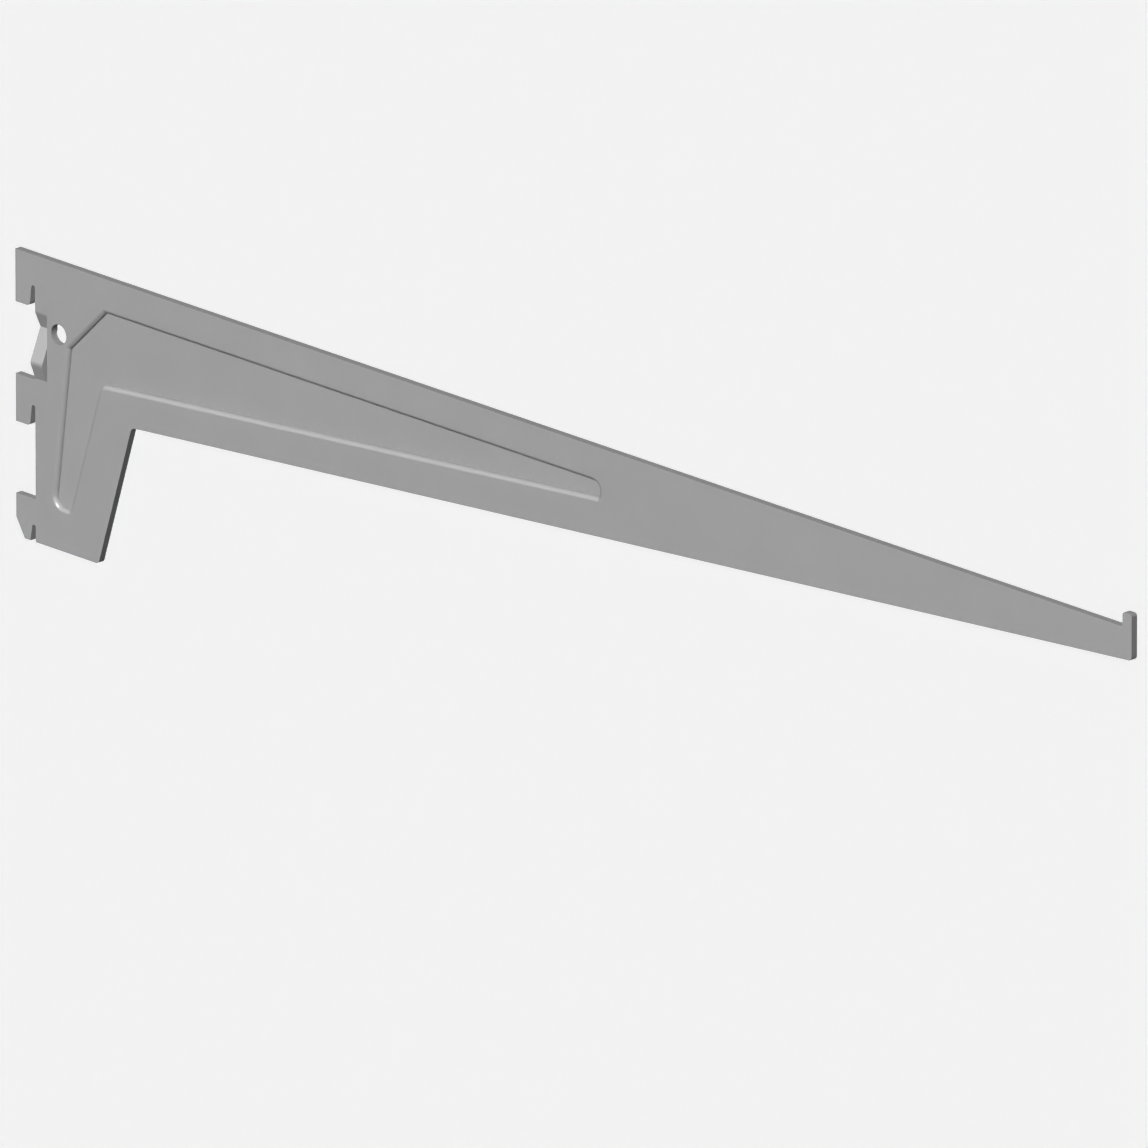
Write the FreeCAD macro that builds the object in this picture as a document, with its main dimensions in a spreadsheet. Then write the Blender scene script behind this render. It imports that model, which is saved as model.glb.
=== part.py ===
import FreeCAD, Part
import math
import os

import Sketcher

# A slotted shelf bracket, punched and pressed from one steel sheet.
# X runs out along the arm, Z runs up, and Y runs through the sheet.
# The origin lies where the shelf seat meets the face of the rail, at mid-sheet.
# The panel is pressed in from the front, at -Y, and stands proud at the back, at +Y.

SIZES = {
    # The sheet and the arm.
    "sheet_thickness": 3.0,
    "shelf_depth": 600.0,
    "shelf_clearance": 1.0,
    "stop_width": 5.0,
    "stop_rise": 6.0,
    "stop_rounding": 1.25,
    "tip_rounding": 1.7,
    "arm_root_depth": 62.9,
    "arm_tip_depth": 13.0,
    # The leg that carries the hooks.
    "leg_root_width": 54.1,
    "leg_foot_width": 35.3,
    "leg_foot_rounding": 2.0,
    "elbow_rounding": 2.5,
    # The hooks and the slots behind their lips.
    "hook_pitch": 50.0,
    "hook_reach": 11.0,
    "hook_height": 20.0,
    "hook_drop": 22.0,
    "slot_mouth": 3.0,
    "slot_throat": 1.9,
    "slot_length": 9.0,
    "slot_top_flat": 0.1,
    "lip_rounding": 2.0,
    "foot_trim": 2.0,
    "foot_chamfer_across": 4.8,
    "foot_chamfer_up": 8.0,
    # The spring strap that stops the bracket rattling in its rail.
    "strap_width": 6.6,
    "strap_shear_gap": 0.1,
    "strap_start": 1.0,
    "strap_top_lead": 0.5,
    "strap_foot_lead": 0.9,
    "strap_back_run": 7.4,
    "strap_back_swing": 3.1,
    "strap_front_run": 7.9,
    "strap_front_swing": 2.7,
    "strap_bend": 1.8,
    # The round hole that locks the bracket.
    "lock_hole_bore": 8.5,
    "lock_hole_setback": 13.3,
    "lock_hole_drop": 29.9,
    # The pressed panel, given by the borders left round its floor.
    "panel_depth": 2.0,
    "panel_reach": 314.2,
    "panel_end_depth": 6.15,
    "panel_end_rounding_top": 3.5,
    "panel_end_rounding_low": 1.2,
    "panel_top_border": 14.6,
    "panel_back_border": 18.9,
    "panel_corner_cut": 20.2,
    "panel_elbow_side_border": 17.65,
    "panel_elbow_low_border": 13.7,
    "panel_elbow_rounding": 5.0,
    "panel_foot_border": 18.1,
    "panel_foot_back_border": 10.6,
    "panel_foot_width": 8.4,
    "panel_foot_rounding_back": 4.0,
    "panel_foot_rounding_front": 1.5,
    # The land that the pressed rim leaves above the sharp corner of the floor.
    "panel_rim_land": 0.05,
    # The raised back of the panel.
    "panel_back_overlap": 2.0,
    "panel_back_rim": 1.2,
    "panel_back_root": 0.6,
}
HOOK_COUNT = 3
CLOSE = 1e-5

# Lengths and places that several features share, as expressions on the sheet of sizes.
HALF_SHEET = "sizes.sheet_thickness / 2"
SEAT_LENGTH = "(sizes.shelf_depth + sizes.shelf_clearance)"
OVERALL_LENGTH = f"({SEAT_LENGTH} + sizes.stop_width)"
LEG_LENGTH = f"(sizes.hook_drop + {HOOK_COUNT - 1} * sizes.hook_pitch - sizes.foot_trim)"
ARM_FALL = f"((sizes.arm_root_depth - sizes.arm_tip_depth) / {OVERALL_LENGTH})"
ELBOW_DEPTH = f"(sizes.arm_root_depth - {ARM_FALL} * sizes.leg_root_width)"
PANEL_FOOT_DEPTH = f"({LEG_LENGTH} - sizes.panel_foot_border)"
SLOT_ROUNDING = "(sizes.slot_throat - sizes.slot_top_flat) / 2"
STRAP_TOP = "(sizes.hook_drop + sizes.strap_start)"
STRAP_FOOT = "(sizes.hook_drop + sizes.hook_pitch - sizes.hook_height)"

doc = FreeCAD.newDocument("slotted_shelf_bracket")
sizes = doc.addObject("Spreadsheet::Sheet", "sizes")
for row, (name, value) in enumerate(SIZES.items(), start=1):
    sizes.set(f"A{row}", name)
    sizes.set(f"B{row}", str(value))
    sizes.setAlias(f"B{row}", name)
doc.recompute()

body = doc.addObject("PartDesign::Body", "shelf_bracket")
body.Label = "shelf_bracket"
body.Placement = FreeCAD.Placement()


def add_sketch(name, role, offset="0"):
    """Add a sketch on one of the body's origin planes, moved along the plane's normal by an expression."""
    plane = next(plane for plane in body.Origin.OriginFeatures if plane.Role == role)
    sketch = body.newObject("Sketcher::SketchObject", name)
    sketch.AttachmentSupport = (plane, [""])
    sketch.MapMode = "FlatFace"
    sketch.setExpression(".AttachmentOffset.Base.z", offset)
    return sketch


def add_size(sketch, kind, references, expression):
    """Add a sketch dimension of this kind that follows an expression."""
    value = float(sketch.evalExpression(expression))
    number = sketch.addConstraint(Sketcher.Constraint(kind, *references, value))
    sketch.setExpression(f"Constraints[{number}]", expression)


def place_point(sketch, geometry, end, across, up):
    """Tie a point of a sketch to the sketch's origin by two expressions."""
    add_size(sketch, "DistanceX", (-1, 1, geometry, end), across)
    add_size(sketch, "DistanceY", (-1, 1, geometry, end), up)


def draw_outline(sketch, corners, closed=True):
    """Draw straight sides between corners, each given as expressions: across, up and rounding or None.

    A rounded corner is a construction point on both of its sides, which a tangent arc joins.
    """
    points = [
        FreeCAD.Vector(float(sketch.evalExpression(across)), float(sketch.evalExpression(up)), 0)
        for across, up, rounding in corners
    ]
    radii = [float(sketch.evalExpression(rounding)) if rounding else 0 for across, up, rounding in corners]
    count = len(corners)
    side_count = count if closed else count - 1
    trims = []
    for number, point in enumerate(points):
        to_last = points[number - 1] - point
        to_next = points[(number + 1) % count] - point
        trims.append(radii[number] / math.tan(to_last.getAngle(to_next) / 2) if radii[number] else 0)

    sides = []
    for number in range(side_count):
        start = points[number]
        finish = points[(number + 1) % count]
        along = FreeCAD.Vector(finish - start).normalize()
        first = start + along * trims[number]
        last = finish - along * trims[(number + 1) % count]
        sides.append(sketch.addGeometry(Part.LineSegment(first, last)))

    for number, (across, up, rounding) in enumerate(corners):
        if not closed and number == 0:
            place_point(sketch, sides[0], 1, across, up)
            continue
        if not closed and number == count - 1:
            place_point(sketch, sides[-1], 2, across, up)
            continue
        arriving = sides[number - 1]
        leaving = sides[number]
        if not rounding:
            sketch.addConstraint(Sketcher.Constraint("Coincident", arriving, 2, leaving, 1))
            place_point(sketch, leaving, 1, across, up)
            continue
        round_corner(sketch, arriving, leaving, points[number], radii[number], rounding)
        corner = sketch.addGeometry(Part.Point(points[number]), True)
        sketch.addConstraint(Sketcher.Constraint("PointOnObject", corner, 1, arriving))
        sketch.addConstraint(Sketcher.Constraint("PointOnObject", corner, 1, leaving))
        place_point(sketch, corner, 1, across, up)


def round_corner(sketch, arriving, leaving, corner, radius, expression):
    """Join the end of one side to the start of the next by a tangent arc, drawn anticlockwise."""
    first = sketch.Geometry[arriving].EndPoint - corner
    last = sketch.Geometry[leaving].StartPoint - corner
    inward = FreeCAD.Vector(first + last).normalize()
    centre = inward * (radius / math.sin(first.getAngle(last) / 2))
    turns_left = first.cross(last).z < 0
    start, finish = (first, last) if turns_left else (last, first)
    start_angle = math.atan2(start.y - centre.y, start.x - centre.x)
    finish_angle = math.atan2(finish.y - centre.y, finish.x - centre.x)
    if finish_angle < start_angle:
        finish_angle += 2 * math.pi
    circle = Part.Circle(corner + centre, FreeCAD.Vector(0, 0, 1), radius)
    arc = sketch.addGeometry(Part.ArcOfCircle(circle, start_angle, finish_angle))
    near, far = (1, 2) if turns_left else (2, 1)
    sketch.addConstraint(Sketcher.Constraint("Tangent", arriving, 2, arc, near))
    sketch.addConstraint(Sketcher.Constraint("Tangent", leaving, 1, arc, far))
    add_size(sketch, "Radius", (arc,), expression)


def draw_circle(sketch, across, up, diameter):
    """Draw a circle from three expressions: its centre's two places and its diameter."""
    centre = FreeCAD.Vector(float(sketch.evalExpression(across)), float(sketch.evalExpression(up)), 0)
    radius = float(sketch.evalExpression(diameter)) / 2
    circle = sketch.addGeometry(Part.Circle(centre, FreeCAD.Vector(0, 0, 1), radius))
    place_point(sketch, circle, 3, across, up)
    add_size(sketch, "Diameter", (circle,), diameter)


def add_pad(name, profile, length, side="One side"):
    """Add material over a profile."""
    pad = body.newObject("PartDesign::Pad", name)
    pad.Profile = profile
    pad.SideType = side
    pad.setExpression("Length", length)
    doc.recompute()
    return pad


def add_pocket(name, profile, depth=None):
    """Cut a profile into the solid, through all of it if no depth is given, and check that it cuts."""
    before = body.Shape.Volume
    pocket = body.newObject("PartDesign::Pocket", name)
    pocket.Profile = profile
    if depth:
        pocket.setExpression("Length", depth)
    else:
        pocket.SideType = "Symmetric"
        pocket.Type = "ThroughAll"
    doc.recompute()
    if pocket.Shape.Volume > before - CLOSE:
        raise RuntimeError(f"{name} cuts nothing")
    return pocket


def add_fillet(name, base, edges, radius):
    """Round the named edges of a feature."""
    fillet = body.newObject("PartDesign::Fillet", name)
    fillet.Base = (base, edges)
    fillet.setExpression("Radius", radius)
    doc.recompute()
    return fillet


def edges_over(feature, outline, level):
    """Name the feature's edges that lie at this Y, straight over or under an outline drawn on XZ."""
    outline_level = outline.Shape.Vertexes[0].Point.y
    names = []
    for number, edge in enumerate(feature.Shape.Edges, start=1):
        middle = edge.valueAt((edge.FirstParameter + edge.LastParameter) / 2)
        shifted = Part.Vertex(middle.x, outline_level, middle.z)
        at_level = all(abs(vertex.Point.y - level) < CLOSE for vertex in edge.Vertexes)
        if at_level and abs(middle.y - level) < CLOSE and outline.Shape.distToShape(shifted)[0] < CLOSE:
            names.append(f"Edge{number}")
    return names


# The blank is the whole outline of the sheet, with its hooks and slots.
blank_corners = [
    ("-sizes.hook_reach", "0", None),
    (SEAT_LENGTH, "0", None),
    (SEAT_LENGTH, "sizes.stop_rise", "sizes.stop_rounding"),
    (OVERALL_LENGTH, "sizes.stop_rise", "sizes.stop_rounding"),
    (OVERALL_LENGTH, "-sizes.arm_tip_depth", "sizes.tip_rounding"),
    ("sizes.leg_root_width", f"-{ELBOW_DEPTH}", "sizes.elbow_rounding"),
    ("sizes.leg_foot_width", f"-{LEG_LENGTH}", "sizes.leg_foot_rounding"),
    ("0", f"-{LEG_LENGTH}", None),
]
for hook in reversed(range(HOOK_COUNT)):
    underside = f"(sizes.hook_drop + {hook} * sizes.hook_pitch)"
    blank_corners += [
        ("0", f"-({underside} - sizes.slot_length)", SLOT_ROUNDING),
        ("-sizes.slot_throat", f"-({underside} - sizes.slot_length)", SLOT_ROUNDING),
    ]
    if hook == HOOK_COUNT - 1:
        blank_corners += [
            ("-sizes.slot_mouth", f"-{LEG_LENGTH}", None),
            ("-(sizes.hook_reach - sizes.foot_chamfer_across)", f"-{LEG_LENGTH}", None),
            ("-sizes.hook_reach", f"-({LEG_LENGTH} - sizes.foot_chamfer_up)", None),
        ]
    else:
        blank_corners += [
            ("-sizes.slot_mouth", f"-{underside}", "sizes.lip_rounding"),
            ("-sizes.hook_reach", f"-{underside}", None),
        ]
    if hook:
        blank_corners += [
            ("-sizes.hook_reach", f"-({underside} - sizes.hook_height)", None),
            ("0", f"-({underside} - sizes.hook_height)", None),
        ]

blank_outline = add_sketch("blank_outline", "XZ_Plane")
draw_outline(blank_outline, blank_corners)
add_pad("sheet_blank", blank_outline, "sizes.sheet_thickness", side="Symmetric")

# The panel's floor has sharp corners where the corner cut meets its top and its back.
panel_corners = [
    ("sizes.panel_back_border + sizes.panel_corner_cut", "-sizes.panel_top_border", None),
    ("sizes.panel_reach", "-sizes.panel_top_border", "sizes.panel_end_rounding_top"),
    (
        "sizes.panel_reach",
        "-(sizes.panel_top_border + sizes.panel_end_depth)",
        "sizes.panel_end_rounding_low",
    ),
    (
        "sizes.leg_root_width - sizes.panel_elbow_side_border",
        f"-({ELBOW_DEPTH} - sizes.panel_elbow_low_border)",
        "sizes.panel_elbow_rounding",
    ),
    (
        "sizes.panel_foot_back_border + sizes.panel_foot_width",
        f"-{PANEL_FOOT_DEPTH}",
        "sizes.panel_foot_rounding_front",
    ),
    ("sizes.panel_foot_back_border", f"-{PANEL_FOOT_DEPTH}", "sizes.panel_foot_rounding_back"),
    ("sizes.panel_back_border", "-(sizes.panel_top_border + sizes.panel_corner_cut)", None),
]
panel_floor = add_sketch("panel_floor", "XZ_Plane", HALF_SHEET)
draw_outline(panel_floor, panel_corners)
doc.recompute()

# The back of the panel is the same outline, grown by the metal that flows round its rim.
panel_back_outline = body.newObject("PartDesign::SubShapeBinder", "panel_back_outline")
panel_back_outline.Support = [(panel_floor, ("",))]
panel_back_outline.MakeFace = False
panel_back_outline.OffsetJoinType = "Intersection"
panel_back_outline.setExpression("Offset", "sizes.panel_back_overlap")
doc.recompute()
panel_back = add_pad("panel_back", panel_back_outline, "sizes.sheet_thickness + sizes.panel_depth")
half_sheet = float(body.evalExpression(HALF_SHEET))
panel_depth = float(sizes.get("panel_depth"))
panel_back_rim = add_fillet(
    "panel_back_rim",
    panel_back,
    edges_over(panel_back, panel_back_outline, half_sheet + panel_depth),
    "sizes.panel_back_rim",
)
add_fillet(
    "panel_back_root",
    panel_back_rim,
    edges_over(panel_back_rim, panel_back_outline, half_sheet),
    "sizes.panel_back_root",
)

panel_recess = add_pocket("panel_recess", panel_floor, "sizes.panel_depth")
add_fillet(
    "panel_rim",
    panel_recess,
    edges_over(panel_recess, panel_floor, -half_sheet),
    "sizes.panel_depth - sizes.panel_rim_land",
)

# The lock hole goes through the flat of the sheet, in the corner that the panel leaves free.
lock_hole_outline = add_sketch("lock_hole_outline", "XZ_Plane")
draw_circle(
    lock_hole_outline, "sizes.lock_hole_setback", "-sizes.lock_hole_drop", "sizes.lock_hole_bore"
)
add_pocket("lock_hole", lock_hole_outline)

# The strap's window runs from the rail face to the line where the strap is sheared from the sheet.
window_corners = [
    ("-sizes.strap_shear_gap", f"-{STRAP_TOP}", None),
    ("sizes.strap_width + sizes.strap_shear_gap", f"-{STRAP_TOP}", None),
    ("sizes.strap_width + sizes.strap_shear_gap", f"-{STRAP_FOOT}", None),
    ("-sizes.strap_shear_gap", f"-{STRAP_FOOT}", None),
]
window_outline = add_sketch("strap_window_outline", "XZ_Plane")
draw_outline(window_outline, window_corners)
add_pocket("strap_window", window_outline)

# The strap leaves the sheet, swings to the back, crosses to the front and comes home.
strap_path = add_sketch("strap_path", "YZ_Plane")
strap_corners = [
    ("0", f"-{STRAP_TOP}", None),
    ("0", f"-({STRAP_TOP} + sizes.strap_top_lead)", "sizes.strap_bend"),
    ("sizes.strap_back_swing", f"-({STRAP_TOP} + sizes.strap_back_run)", "sizes.strap_bend"),
    ("-sizes.strap_front_swing", f"-({STRAP_FOOT} - sizes.strap_front_run)", "sizes.strap_bend"),
    ("0", f"-({STRAP_FOOT} - sizes.strap_foot_lead)", "sizes.strap_bend"),
    ("0", f"-{STRAP_FOOT}", None),
]
draw_outline(strap_path, strap_corners, closed=False)
strap_section = add_sketch("strap_section", "XY_Plane", f"-{STRAP_TOP}")
section_corners = [
    ("0", f"-{HALF_SHEET}", None),
    ("sizes.strap_width", f"-{HALF_SHEET}", None),
    ("sizes.strap_width", HALF_SHEET, None),
    ("0", HALF_SHEET, None),
]
draw_outline(strap_section, section_corners)
doc.recompute()
strap = body.newObject("PartDesign::AdditivePipe", "spring_strap")
strap.Profile = strap_section
strap.Spine = (strap_path, [""])
doc.recompute()

for item in doc.Objects:
    if "Invalid" in item.State or "Error" in item.State:
        raise RuntimeError(f"{item.Name} is {item.State}")
parts = [body]
for piece in parts:
    if piece.Shape.isNull() or not piece.Shape.isValid() or len(piece.Shape.Solids) != 1:
        raise RuntimeError(f"{piece.Label} is not one valid solid")

os.makedirs("parts", exist_ok=True)
for piece in parts:
    piece.Shape.exportStep(f"parts/{piece.Label}.step")
    box = piece.Shape.BoundBox
    print(f"{piece.Label}: {box.XLength:.2f} x {box.YLength:.2f} x {box.ZLength:.2f} mm,", end=" ")
    print(f"{piece.Shape.Volume / 1000:.2f} cm3, {len(piece.Shape.Faces)} faces")
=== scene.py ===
# %% [markdown]
# # A slotted shelf bracket
#
# The real object is one steel sheet, 3 mm thick. A press cuts its outline, lances a springy strap out
# of the leg, pushes a long panel 2 mm towards the back, and the part is then powder coated in a
# satin grey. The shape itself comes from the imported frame, exact to the fillets, so this lesson adds
# what the frame cannot hold: the coat, the light, a floor and a camera.
#
# A bracket could also be drawn by hand with a Solidify modifier, but then each press line would have to
# be matched again. Keeping the measured mesh and dressing it is quicker and truer.

# %% Load the frame
import math

import bpy
import numpy as np
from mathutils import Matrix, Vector

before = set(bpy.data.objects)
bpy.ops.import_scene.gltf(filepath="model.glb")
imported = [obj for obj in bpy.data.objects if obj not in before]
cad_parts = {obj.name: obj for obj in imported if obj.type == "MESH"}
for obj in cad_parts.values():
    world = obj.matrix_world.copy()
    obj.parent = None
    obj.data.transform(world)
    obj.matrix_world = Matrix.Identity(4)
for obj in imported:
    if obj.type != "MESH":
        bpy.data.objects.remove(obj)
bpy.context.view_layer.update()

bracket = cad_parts["shelf_bracket"]
print("bracket triangles:", len(bracket.data.polygons))

# %% [markdown]
# ## Helpers for node materials
#
# A material is a small graph. Two helpers keep the graph readable: one adds a node and sets its
# sockets by name, the other joins an output to an input. Constants go straight onto the sockets of
# the shader, so that they also survive an export to other programs.

# %% Two helpers for the node graphs
def add_node(graph, kind, **values):
    """Adds a node of this kind; each value is set on the input socket with that name."""
    node = graph.nodes.new(kind)
    for name, value in values.items():
        node.inputs[name.replace("_", " ")].default_value = value
    return node


def join(graph, source, target):
    """Joins (node, output name) to (node, input name)."""
    graph.links.new(source[0].outputs[source[1]], target[0].inputs[target[1]])


print("helpers:", add_node.__name__, join.__name__)

# %% [markdown]
# ## The powder coat
#
# Powder coat is plastic dust baked onto the steel. It is never quite flat: the melt pulls into low
# hills a millimetre or two across, called orange peel, and unmelted grains leave a finer tooth on
# top. Its grey also drifts a little from place to place, as the dust settles thicker or thinner.
#
# A painted image could show this, but it would stretch where the punched edges turn. Three noises on
# Object coordinates wrap front, edges and back alike. Object coordinates are metres here, so a noise
# scale is the number of hills or grains in a metre.

# %% Scale the three noises
HILL_SCALE = 620.0
GRAIN_SCALE = 3800.0
CLOUD_SCALE = 38.0


def space_noise(graph, place, scale, detail, roughness):
    """A noise worked out at each point of the object: 'scale' waves to the metre."""
    noise = add_node(graph, "ShaderNodeTexNoise", Scale=scale, Detail=detail, Roughness=roughness)
    join(graph, (place, "Object"), (noise, "Vector"))
    return noise


for name, scale in (("hills", HILL_SCALE), ("grains", GRAIN_SCALE), ("clouds", CLOUD_SCALE)):
    print(name, "about", round(1000.0 / scale, 2), "mm across")

# %% [markdown]
# ### The grey
#
# One flat number would look like bare plastic. The slow cloud moves the grey by 2.5 % each way, and the
# grain adds a speckle of less than a hundredth. Both stay below what the eye names as a pattern.

# %% Mix the grey
COAT_GREY = 0.34
CLOUD_SHARE = 0.025
SPECKLE = 0.006
# A noise seldom leaves this range, so the cloud is stretched over it.
NOISE_LOW, NOISE_HIGH = 0.25, 0.75


def coat_colour(graph, cloud, grain, grey):
    """The grey times (1 +- CLOUD_SHARE) as the cloud goes, plus or minus SPECKLE as the grain goes."""
    tone = add_node(graph, "ShaderNodeMapRange", From_Min=NOISE_LOW, From_Max=NOISE_HIGH)
    tone.inputs["To Min"].default_value = grey * (1.0 - CLOUD_SHARE)
    tone.inputs["To Max"].default_value = grey * (1.0 + CLOUD_SHARE)
    join(graph, (cloud, "Fac"), (tone, "Value"))
    speckle = add_node(graph, "ShaderNodeMapRange", To_Min=-SPECKLE, To_Max=SPECKLE)
    join(graph, (grain, "Fac"), (speckle, "Value"))
    shade = add_node(graph, "ShaderNodeMath")
    shade.operation = "ADD"
    join(graph, (tone, "Result"), (shade, 0))
    join(graph, (speckle, "Result"), (shade, 1))
    colour = add_node(graph, "ShaderNodeCombineColor")
    for channel in ("Red", "Green", "Blue"):
        join(graph, (shade, "Value"), (colour, channel))
    return colour


print("grey from", round(COAT_GREY * (1 - CLOUD_SHARE), 3), "to", round(COAT_GREY * (1 + CLOUD_SHARE), 3))

# %% [markdown]
# ### The relief
#
# Hills and grain are at most a few hundredths of a millimetre high. As real geometry they would need
# millions of faces, so each is the height of a Bump node, the grain on top of the hills. From a metre
# away they merely soften the highlight.

# %% Raise the hills and the grain
HILL_HEIGHT, HILL_STRENGTH = 0.00004, 0.35
GRAIN_HEIGHT, GRAIN_STRENGTH = 0.00001, 0.3


def coat_relief(graph, hills, grain):
    """Tilts the surface by the slope of the hills, then by the slope of the grain."""
    peel = add_node(graph, "ShaderNodeBump", Strength=HILL_STRENGTH, Distance=HILL_HEIGHT)
    tooth = add_node(graph, "ShaderNodeBump", Strength=GRAIN_STRENGTH, Distance=GRAIN_HEIGHT)
    join(graph, (hills, "Fac"), (peel, "Height"))
    join(graph, (grain, "Fac"), (tooth, "Height"))
    join(graph, (peel, "Normal"), (tooth, "Normal"))
    return tooth


print("hills", HILL_HEIGHT * 1000, "mm high, grain", GRAIN_HEIGHT * 1000, "mm high")

# %% [markdown]
# ### The gloss
#
# A satin coat spreads a highlight without blurring it away, and it is a little duller on the hills
# than between them, so the hills also move the roughness.
#
# The shader's ordinary gloss grows to a pale veil on edges seen at a low angle, where the real coat
# stays deep. A metallic share of 4 % is used in its place: it gives a faint grey gloss that is
# almost the same from every side.

# %% Join the coat together
METAL_SHARE = 0.04
SMOOTHEST, ROUGHEST = 0.28, 0.34


def powder_coat(name, grey):
    """A satin coat: grey, roughness and relief come from three noises, the rest is constant."""
    material = bpy.data.materials.new(name)
    material.use_nodes = True
    graph = material.node_tree
    graph.nodes.clear()
    place = add_node(graph, "ShaderNodeTexCoord")
    hills = space_noise(graph, place, HILL_SCALE, detail=2.0, roughness=0.45)
    grain = space_noise(graph, place, GRAIN_SCALE, detail=1.0, roughness=0.5)
    cloud = space_noise(graph, place, CLOUD_SCALE, detail=3.0, roughness=0.5)
    rough = add_node(graph, "ShaderNodeMapRange", To_Min=SMOOTHEST, To_Max=ROUGHEST)
    join(graph, (hills, "Fac"), (rough, "Value"))

    coat = add_node(graph, "ShaderNodeBsdfPrincipled", Metallic=METAL_SHARE, Specular_IOR_Level=0.0)
    join(graph, (coat_colour(graph, cloud, grain, grey), "Color"), (coat, "Base Color"))
    join(graph, (rough, "Result"), (coat, "Roughness"))
    join(graph, (coat_relief(graph, hills, grain), "Normal"), (coat, "Normal"))
    out = add_node(graph, "ShaderNodeOutputMaterial")
    join(graph, (coat, "BSDF"), (out, "Surface"))
    return material


satin_grey = powder_coat("satin_powder_coat", COAT_GREY)
print("coat nodes:", len(satin_grey.node_tree.nodes))

# %% [markdown]
# ## Dress the bracket
#
# The whole sheet is coated in one colour, walls of the hooks' slots and the hole included, so one
# material fills every material slot of the mesh. The mesh keeps its own normals: press roundings run
# smooth, and the punched edges stay crisp.

# %% Put the coat on the bracket
for slot in bracket.material_slots:
    slot.material = satin_grey
print("slots dressed:", [slot.material.name for slot in bracket.material_slots])

# %% [markdown]
# ## Two kinds of ray
#
# The bracket is shown alone on a pale ground, as in a parts catalogue, but a pale ground all round
# would throw light up under its edges. The Light Path node tells the rays apart. The camera, the
# reflections and rays through glass see a pale floor and a pale world. All other rays see a dark bench
# in a dark room, so the lower sides stay deep.

# %% Tell the rays apart
def seen_directly(graph):
    """Gives 1 for camera, glossy and transmission rays, else 0: the largest of the three flags."""
    path = add_node(graph, "ShaderNodeLightPath")
    either = add_node(graph, "ShaderNodeMath")
    either.operation = "MAXIMUM"
    join(graph, (path, "Is Camera Ray"), (either, 0))
    join(graph, (path, "Is Glossy Ray"), (either, 1))
    any_of = add_node(graph, "ShaderNodeMath")
    any_of.operation = "MAXIMUM"
    join(graph, (either, "Value"), (any_of, 0))
    join(graph, (path, "Is Transmission Ray"), (any_of, 1))
    return any_of


print("ray helper:", seen_directly.__name__)

# %% [markdown]
# ## A floor out of the way
#
# A floor more than a metre below the bracket keeps the soft shadow far from the steel. The lamps give
# its pale side most of its light, and a little emission lifts it to the grey of the world, so that no
# horizon shows. The lift belongs to the lamps below: a stronger front lamp needs a smaller one.

# %% Paint the floor
FLOOR_GREY = 0.8
FLOOR_LIFT = 0.374
BENCH_GREY = 0.03


def grey_matt(graph, grey):
    """A plain matt shader of one grey."""
    return add_node(graph, "ShaderNodeBsdfDiffuse", Color=(grey, grey, grey, 1.0))


def floor_paint(name):
    """Pale (matt grey plus a lift) where it is seen directly, a dark bench to all other rays."""
    material = bpy.data.materials.new(name)
    material.use_nodes = True
    graph = material.node_tree
    graph.nodes.clear()
    lift = add_node(graph, "ShaderNodeEmission", Color=(1.0, 1.0, 1.0, 1.0), Strength=FLOOR_LIFT)
    pale_side = add_node(graph, "ShaderNodeAddShader")
    join(graph, (grey_matt(graph, FLOOR_GREY), "BSDF"), (pale_side, 0))
    join(graph, (lift, "Emission"), (pale_side, 1))
    pick = add_node(graph, "ShaderNodeMixShader")
    join(graph, (seen_directly(graph), "Value"), (pick, 0))
    join(graph, (grey_matt(graph, BENCH_GREY), "BSDF"), (pick, 1))
    join(graph, (pale_side, "Shader"), (pick, 2))
    out = add_node(graph, "ShaderNodeOutputMaterial")
    join(graph, (pick, "Shader"), (out, "Surface"))
    return material


pale_floor = floor_paint("pale_floor")
print("floor nodes:", len(pale_floor.node_tree.nodes))

# %% Lay the floor
FLOOR_DROP = 1.2
FLOOR_REACH = 4.5


def floor_mesh(name, reach, height):
    """A level square: its corners stand at 45, 135, 225 and 315 degrees on a circle of reach * sqrt(2)."""
    turn = np.radians(np.array([45.0, 135.0, 225.0, 315.0]))
    corners = np.column_stack([np.cos(turn), np.sin(turn), np.zeros(4)]) * reach * math.sqrt(2.0)
    corners[:, 2] = height
    mesh = bpy.data.meshes.new(name)
    mesh.from_pydata(corners.tolist(), [], [[0, 1, 2, 3]])
    mesh.update()
    return mesh


floor = bpy.data.objects.new("floor", floor_mesh("floor", FLOOR_REACH, -FLOOR_DROP))
floor.data.materials.append(pale_floor)
bpy.context.scene.collection.objects.link(floor)
print("floor at z =", -FLOOR_DROP, "m, half side", FLOOR_REACH, "m")

# %% [markdown]
# ## The world behind everything
#
# Past the floor's rim the camera looks into the world, which has the same pale grey. As a light it is
# only a faint fill.

# %% Set the world
PALE = 0.888
FILL = 0.004


def even_sky(graph, strength):
    """A white sky of this strength, the same in all directions."""
    return add_node(graph, "ShaderNodeBackground", Color=(1.0, 1.0, 1.0, 1.0), Strength=strength)


world = bpy.data.worlds.new("pale_world")
bpy.context.scene.world = world
world.use_nodes = True
sky_graph = world.node_tree
sky_graph.nodes.clear()
sky_pick = add_node(sky_graph, "ShaderNodeMixShader")
join(sky_graph, (seen_directly(sky_graph), "Value"), (sky_pick, 0))
join(sky_graph, (even_sky(sky_graph, FILL), "Background"), (sky_pick, 1))
join(sky_graph, (even_sky(sky_graph, PALE), "Background"), (sky_pick, 2))
sky_out = add_node(sky_graph, "ShaderNodeOutputWorld")
join(sky_graph, (sky_pick, "Shader"), (sky_out, "Surface"))
print("world: pale", PALE, "fill", FILL)

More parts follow.
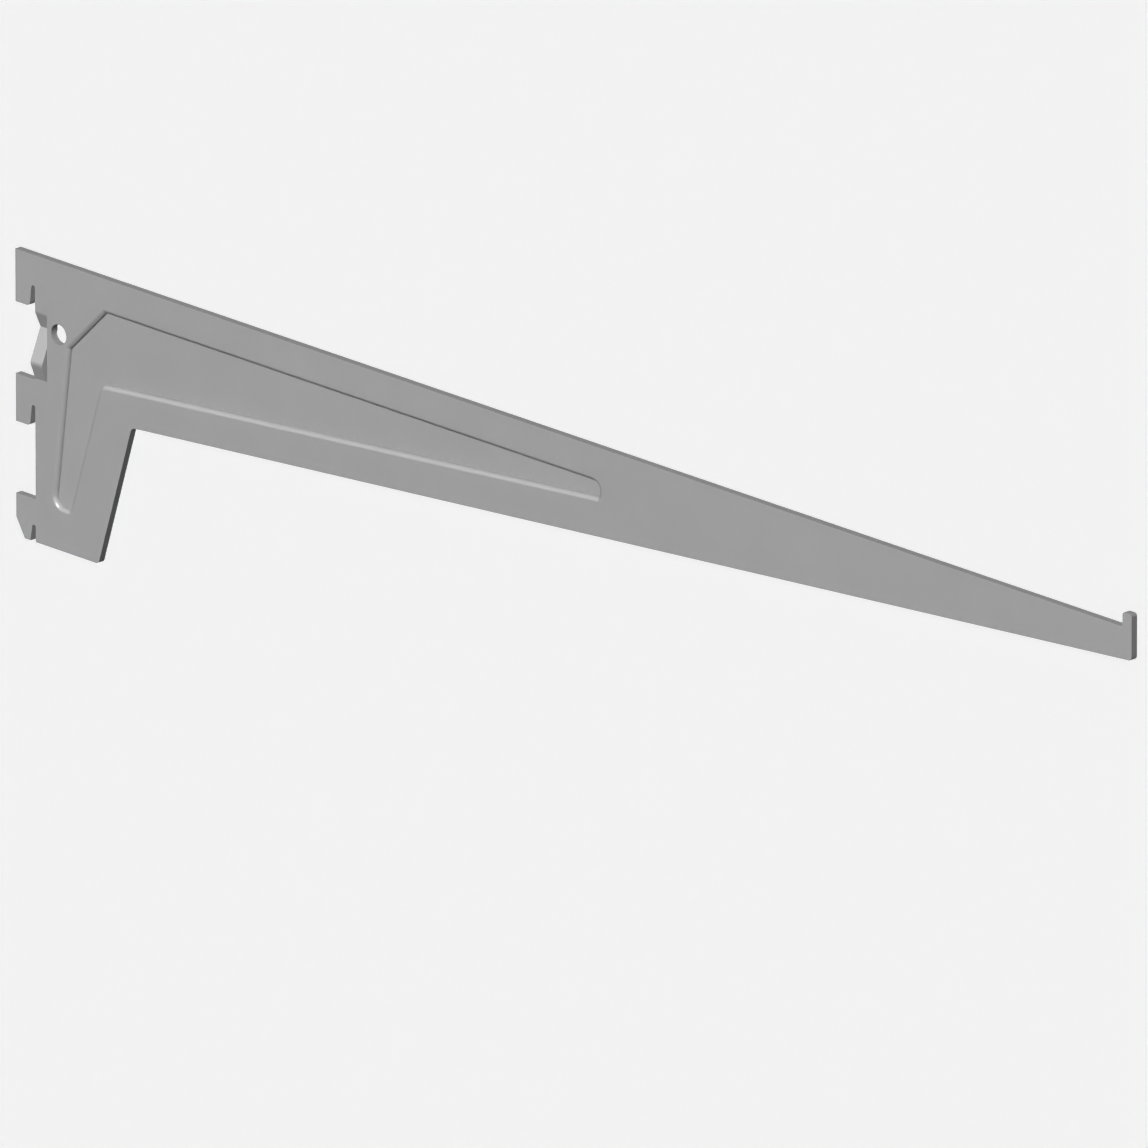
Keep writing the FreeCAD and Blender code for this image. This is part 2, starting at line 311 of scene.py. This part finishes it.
# %% [markdown]
# ## Soft lamps for shade and for sheen
#
# The front of the sheet is the lightest side, the upper edge comes next and the end of the tip is
# darker still, so one lamp hangs in front, above and a little to the right. It is 20 degrees wide seen
# from the bracket: wide enough for soft press lines, and narrow enough to leave the lower roundings in
# the dark.
#
# A studio sets the gloss with lamps of its own. Here two lamps give no shade at all and only shine on
# the coat. The first is as wide as a wall of the room, so every rounding that tilts up catches a light
# band. The second is small, and makes the one bright glint, where the pressed rim turns round the foot
# of the panel.
#
# The last lamp hangs behind and serves the views of the back. It hangs so low that the upper edge gets
# hardly any of its light.
#
# All four are sun lamps, because a sun lamp lights both ends of a long part alike.

# %% Hang the lamps
def soft_lamp(name, towards, width, level, shades=True, shines=True):
    """A far disc lamp, 'width' degrees wide. A matt wall that faces it shows its grey times 'level'."""
    way = Vector(towards).normalized()
    data = bpy.data.lights.new(name, "SUN")
    data.angle = math.radians(width)
    data.energy = math.pi * level
    lamp = bpy.data.objects.new(name, data)
    bpy.context.scene.collection.objects.link(lamp)
    lamp.rotation_mode = "QUATERNION"
    lamp.rotation_quaternion = (-way).to_track_quat("-Z", "Y")
    lamp.visible_diffuse = shades
    lamp.visible_glossy = shines
    print(name, "width in degrees", round(width), "strength", round(data.energy, 2))


soft_lamp("front_lamp", (0.41, -1.0, 0.70), width=20.0, level=1.15, shines=False)
soft_lamp("sheen_lamp", (0.07, -1.0, 0.73), width=148.0, level=6.5, shades=False)
soft_lamp("spark_lamp", (-0.05, -1.0, 0.40), width=8.0, level=5.8, shades=False)
soft_lamp("back_lamp", (-0.35, 1.0, -0.14), width=32.0, level=1.25, shines=False)

# %% [markdown]
# ## The camera
#
# The picture is close to a parallel view: edges that are parallel on the bracket stay parallel in it.
# A camera far away with a long lens gives the same look, and can still be walked round the object. Its
# two angles, the half width of its view and the centre are fitted to the bracket's corners there.

# %% Place the camera
AZIMUTH = math.radians(45.221)
ELEVATION = math.radians(19.943)
CAMERA_AWAY = 21.4
HALF_WIDTH = 0.223658
CENTRE = np.array([0.29926, 0.0, -0.056635])
SENSOR_MM = 36.0
NEAREST, FURTHEST = 1.0, 60.0

backwards = np.array([
    math.sin(AZIMUTH) * math.cos(ELEVATION),
    -math.cos(AZIMUTH) * math.cos(ELEVATION),
    math.sin(ELEVATION),
])
camera_data = bpy.data.cameras.new("camera")
camera_data.sensor_width = SENSOR_MM
camera_data.lens = SENSOR_MM / 2.0 * CAMERA_AWAY / HALF_WIDTH
camera_data.clip_start, camera_data.clip_end = NEAREST, FURTHEST
camera = bpy.data.objects.new("camera", camera_data)
bpy.context.scene.collection.objects.link(camera)
camera.location = Vector(CENTRE + backwards * CAMERA_AWAY)
camera.rotation_mode = "QUATERNION"
camera.rotation_quaternion = Vector(-backwards).to_track_quat("-Z", "Y")
bpy.context.scene.camera = camera
bpy.context.scene.view_settings.view_transform = "Standard"
print("lens", round(camera_data.lens, 1), "mm at", CAMERA_AWAY, "m")
